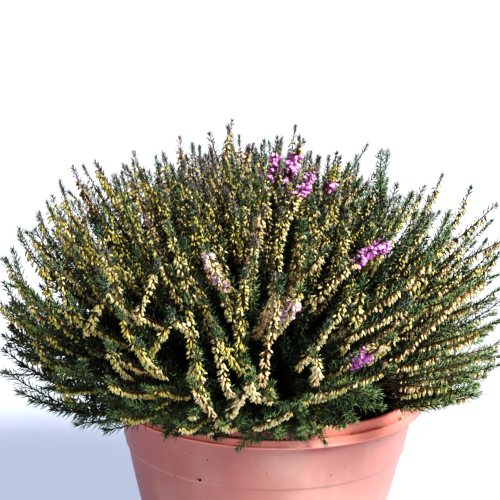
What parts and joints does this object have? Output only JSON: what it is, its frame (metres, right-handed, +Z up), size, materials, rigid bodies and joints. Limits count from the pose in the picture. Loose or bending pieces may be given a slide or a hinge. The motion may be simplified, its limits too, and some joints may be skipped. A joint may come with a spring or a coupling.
{
  "type": "potted winter heath",
  "caption": "Dense evergreen heath with needled shoots and hanging bell buds, rooted in compost in a round plastic bowl pot with a stepped rim.",
  "frame": {"origin": "centre of the pot's flat underside, on the plane it stands on", "axes": "+Z up, -Y towards the viewer of the picture, +X to the viewer's right"},
  "size_m": [0.3916, 0.3835, 0.3227],
  "materials": {
    "pot_plastic": "dull moulded terracotta-coloured plastic",
    "compost": "dark damp crumbs",
    "dry_wood": "bleached dry bark",
    "foliage": "dark blue-green needles on tan stems",
    "bud_cream": "waxy yellow-green to cream buds",
    "bud_peach": "waxy peach to orange buds",
    "bloom_pink": "soft bright pink bells",
    "bloom_pale": "soft pale mauve bells"
  },
  "bodies": {
    "root": {"pot": "pot_plastic", "soil": "compost", "dry_twig": "dry_wood", "bud_spray_01": "bud_cream", "bud_spray_02": "bud_cream", "bud_spray_03": "bud_cream", "bud_spray_04": "bud_cream", "bud_spray_05": "bud_cream", "bud_spray_06": "bud_cream", "bud_spray_07": "bud_cream", "bud_spray_08": "bud_cream", "peach_spray_09": "bud_peach", "pink_spray_10": "bloom_pink", "pink_spray_11": "bloom_pink", "pink_spray_12": "bloom_pink", "pale_spray_13": "bloom_pale", "bud_spray_14": "bud_cream", "bud_spray_15": "bud_cream", "bud_spray_16": "bud_cream", "bud_spray_17": "bud_cream", "bud_spray_18": "bud_cream", "bud_spray_19": "bud_cream", "bud_spray_20": "bud_cream", "pink_spray_21": "bloom_pink", "pink_spray_22": "bloom_pink", "pale_spray_23": "bloom_pale", "pale_spray_24": "bloom_pale", "peach_spray_25": "bud_peach", "bud_spray_26": "bud_cream", "bud_spray_27": "bud_cream", "bud_spray_28": "bud_cream", "bud_spray_29": "bud_cream", "bud_spray_30": "bud_cream", "bud_spray_31": "bud_cream", "bud_spray_32": "bud_cream", "bud_spray_33": "bud_cream", "peach_spray_34": "bud_peach", "bud_spray_35": "bud_cream", "peach_spray_36": "bud_peach", "bud_spray_37": "bud_cream", "bud_spray_38": "bud_cream", "bud_spray_39": "bud_cream", "branch_low_1": "foliage", "branch_low_2": "foliage", "branch_low_3": "foliage", "branch_low_4": "foliage", "branch_low_5": "foliage", "branch_low_6": "foliage", "branch_low_7": "foliage", "branch_low_8": "foliage", "branch_middle_1": "foliage", "branch_middle_2": "foliage", "branch_middle_3": "foliage", "branch_middle_4": "foliage", "branch_middle_5": "foliage", "branch_middle_6": "foliage", "branch_crown_1": "foliage", "branch_crown_2": "foliage", "branch_crown_3": "foliage", "branch_crown_4": "foliage"}
  },
  "joints": []
}
